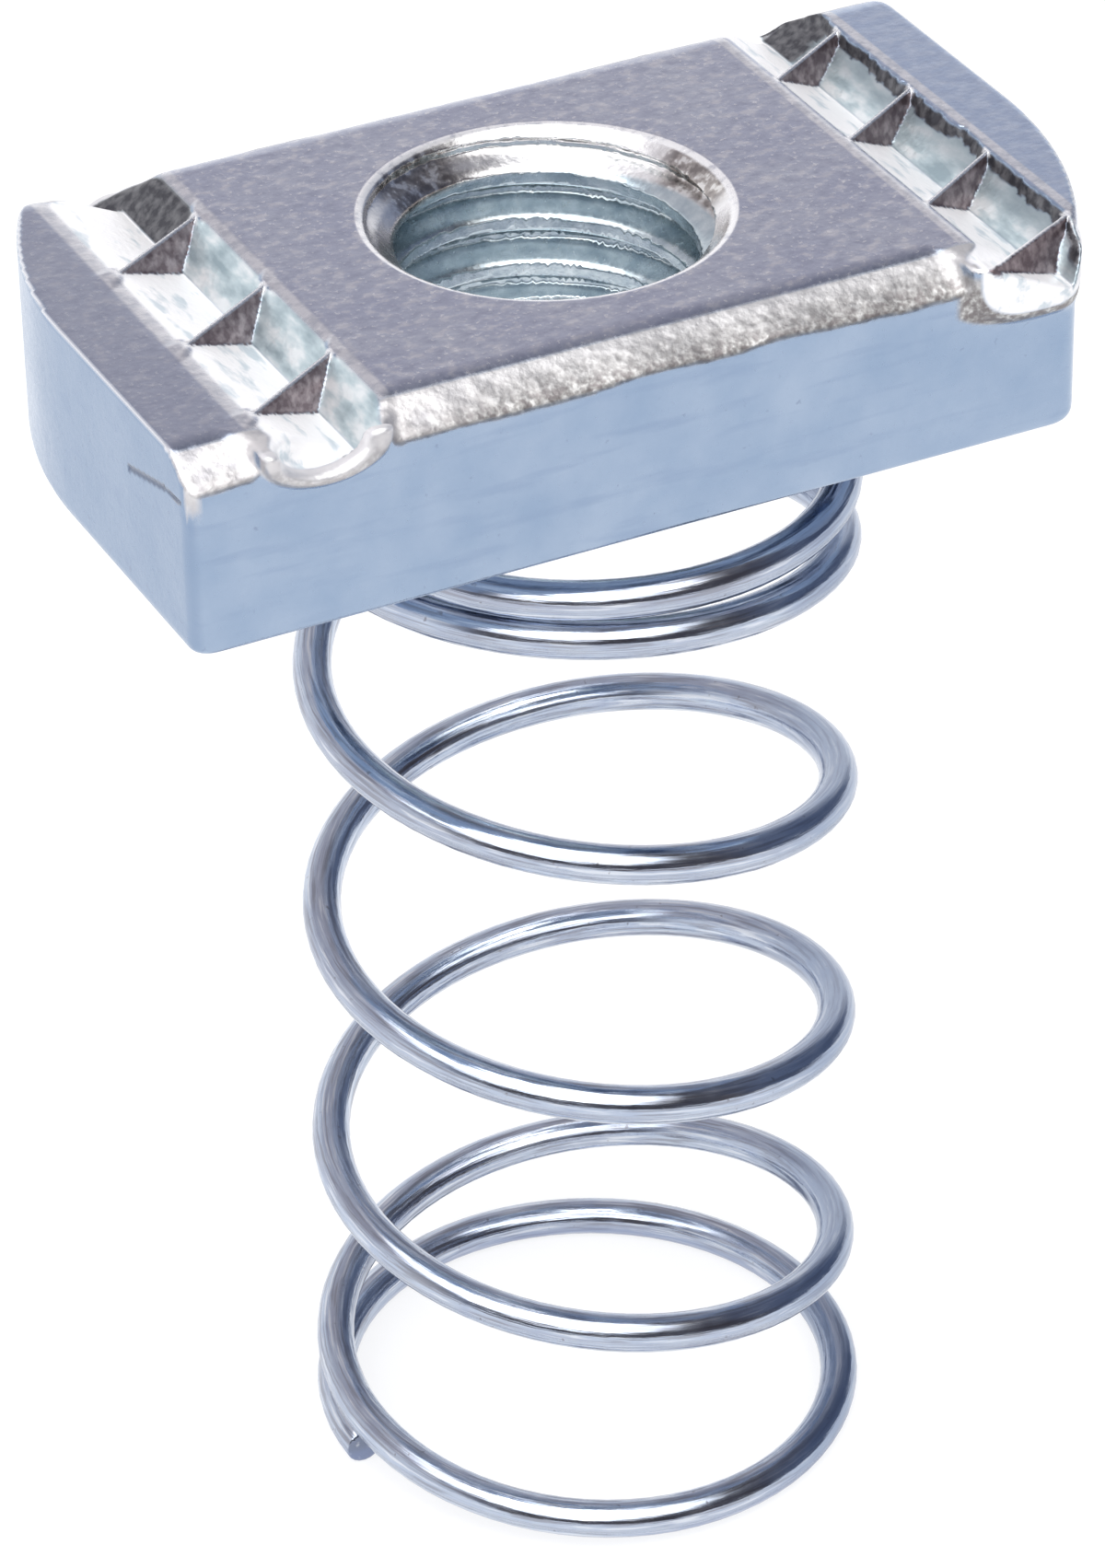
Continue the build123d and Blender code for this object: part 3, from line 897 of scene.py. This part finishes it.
def wire_material(name):
    """Drawn, zinc-plated spring wire: bright, with dark die lines and stains that run along it."""
    material = bpy.data.materials.new(name)
    material.use_nodes = True
    n = Nodes(material.node_tree)
    position = n.add("ShaderNodeTexCoord").outputs["Object"]
    along = n.add("ShaderNodeAttribute", attribute_name="along").outputs["Fac"]
    around = n.add("ShaderNodeAttribute", attribute_name="around").outputs["Fac"]
    cut = n.add("ShaderNodeAttribute", attribute_name="cut").outputs["Fac"]
    run = n.add(
        "ShaderNodeCombineXYZ",
        {
            "X": n.math("MULTIPLY", along, 0.12),
            "Y": n.math("MULTIPLY", n.math("COSINE", around), 1.6),
            "Z": n.math("MULTIPLY", n.math("SINE", around), 1.6),
        },
    ).outputs[0]
    lines = n.noise(run, 3.2, 4.0)
    stains = n.noise(run, 1.1, 3.0)
    mottle = n.noise(position, 900.0, 3.0)
    specks = n.noise(position, 3600.0, 2.0)
    colour = n.ramp(mottle, [(0.3, (0.44, 0.50, 0.62)), (0.7, (0.52, 0.58, 0.68))])
    colour = n.mix(n.ramp(stains, [(0.48, 0.0), (0.66, 0.5)]), colour, (0.34, 0.35, 0.42))
    colour = n.mix(n.ramp(lines, [(0.52, 0.0), (0.62, 0.6)]), colour, (0.26, 0.26, 0.29))
    colour = n.mix(n.ramp(lines, [(0.36, 0.8), (0.45, 0.0)]), colour, (0.72, 0.75, 0.80))
    colour = n.mix(n.ramp(specks, [(0.70, 0.0), (0.76, 0.6)]), colour, (0.20, 0.19, 0.21))
    colour = n.mix(cut, colour, n.ramp(specks, [(0.60, (0.20, 0.23, 0.31)), (0.72, (0.42, 0.44, 0.50))]))
    # painted shade: the coil darker and bluer on its right side
    x, y, z = n.place(position)
    rightward = n.math("SUBTRACT", n.math("MULTIPLY", x, 0.9), n.math("MULTIPLY", y, 0.44))
    colour = n.mix(n.math("MULTIPLY", n.span(rightward, 6.5, 9.5), 0.6), colour, (0.22, 0.28, 0.40))
    # and painted shadow under the foot
    colour = n.mix(n.math("MULTIPLY", n.span(z, 0.9, 0.4), 0.6), colour, (0.24, 0.29, 0.45))
    rough = n.ramp(mottle, [(0.3, 0.10), (0.7, 0.20)])
    bump = n.add("ShaderNodeBump", {"Height": lines, "Strength": 0.35, "Distance": 0.00004})
    shader = n.add(
        "ShaderNodeBsdfPrincipled",
        {"Base Color": colour, "Roughness": rough, "Metallic": 1.0, "Normal": bump.outputs[0]},
    )
    n.add("ShaderNodeOutputMaterial", {"Surface": shader.outputs[0]})
    return material


# ---------------------------------------------------------------- studio
def make_floor():
    half = 4.0
    mesh = bpy.data.meshes.new("floor")
    corners = [(-half, -half, 0), (half, -half, 0), (half, half, 0), (-half, half, 0)]
    mesh.from_pydata(corners, [], [(0, 1, 2, 3)])
    floor = bpy.data.objects.new("floor", mesh)
    bpy.context.scene.collection.objects.link(floor)
    material = bpy.data.materials.new("light_table")
    material.use_nodes = True
    shader = material.node_tree.nodes["Principled BSDF"]
    shader.inputs["Base Color"].default_value = (0.22, 0.225, 0.24, 1)
    shader.inputs["Roughness"].default_value = 0.9
    shader.inputs["Specular IOR Level"].default_value = 0.0
    shader.inputs["Emission Color"].default_value = (1, 1, 1, 1)
    shader.inputs["Emission Strength"].default_value = 0.82
    mesh.materials.append(material)


def make_world():
    """A soft white light high on the near left, a pale backdrop behind, a dim room on the near side."""
    world = bpy.data.worlds.new("studio")
    bpy.context.scene.world = world
    world.use_nodes = True
    n = Nodes(world.node_tree)
    direction = n.add("ShaderNodeTexCoord").outputs["Generated"]

    def towards(x, y, z):
        length = math.sqrt(x * x + y * y + z * z)
        axis = (x / length, y / length, z / length)
        node = n.add("ShaderNodeVectorMath", {0: direction, 1: axis}, operation="DOT_PRODUCT")
        return node.outputs["Value"]

    facing = {"Value": towards(0.37, -0.75, 0.0), "From Min": -1.0, "From Max": 1.0}
    near = n.add("ShaderNodeMapRange", facing).outputs[0]
    walls = n.ramp(near, [
        (0.0, (0.62, 0.61, 0.66)),
        (0.26, (0.60, 0.58, 0.62)),
        (0.45, (0.29, 0.30, 0.35)),
        (0.60, (0.13, 0.12, 0.13)),
        (1.0, (0.09, 0.085, 0.10)),
    ])
    right = n.ramp(towards(1.0, 0.1, 0.1), [(0.60, 0.0), (0.88, 1.0)])
    walls = n.mix(n.math("MULTIPLY", right, 0.8), walls, (0.16, 0.20, 0.30))
    # the white sweep behind the object, seen at low angles
    height = n.add("ShaderNodeSeparateXYZ", {0: direction}).outputs["Z"]
    sweep = n.math("MULTIPLY", n.span(height, 0.50, 0.30), n.span(near, 0.52, 0.30))
    walls = n.mix(sweep, walls, (0.97, 0.97, 1.0))
    lamp = n.ramp(towards(-0.22, -0.40, 0.86), [(0.72, 0.0), (0.82, 1.0)])
    colour = n.mix(lamp, walls, (1.0, 1.0, 1.0))
    strength = n.add("ShaderNodeMapRange", {"Value": lamp, "To Min": 1.0, "To Max": 3.0})
    shade = n.add("ShaderNodeBackground", {"Color": colour, "Strength": strength.outputs[0]})
    n.add("ShaderNodeOutputWorld", {"Surface": shade.outputs[0]})


def make_camera():
    azimuth, elevation, roll = (math.radians(v) for v in (26.184, 32.909, -1.088))
    distance = 0.22904
    lens, sensor = 147.21104, 36.0  # mm
    target = Vector((1.638, 3.705, TOP - 25.265)) * MM
    forward = Vector((
        math.sin(azimuth) * math.cos(elevation),
        math.cos(azimuth) * math.cos(elevation),
        -math.sin(elevation),
    ))
    level = Vector((math.cos(azimuth), -math.sin(azimuth), 0))
    upward = level.cross(forward)
    right = math.cos(roll) * level + math.sin(roll) * upward
    up = -math.sin(roll) * level + math.cos(roll) * upward
    camera = bpy.data.objects.new("camera", bpy.data.cameras.new("camera"))
    camera.data.sensor_fit = "AUTO"
    camera.data.sensor_width = sensor
    camera.data.lens = lens
    camera.data.clip_start = 0.01
    camera.data.clip_end = 50.0
    turn = Matrix((right, up, -forward)).transposed().to_4x4()
    camera.matrix_world = Matrix.Translation(target - distance * forward) @ turn
    bpy.context.scene.collection.objects.link(camera)
    bpy.context.scene.camera = camera


def make_lights():
    light = bpy.data.lights.new("overhead", "AREA")
    light.energy = 1.5
    light.size = 0.4
    lamp = bpy.data.objects.new("overhead", light)
    lamp.location = (-0.25, -0.3, 0.9)
    lamp.rotation_euler = (Vector((0, 0, 0.03)) - lamp.location).to_track_quat("-Z", "Y").to_euler()
    bpy.context.scene.collection.objects.link(lamp)


make_nut()
make_spring()
make_floor()
make_world()
make_lights()
make_camera()
bpy.context.scene.view_settings.view_transform = "Standard"
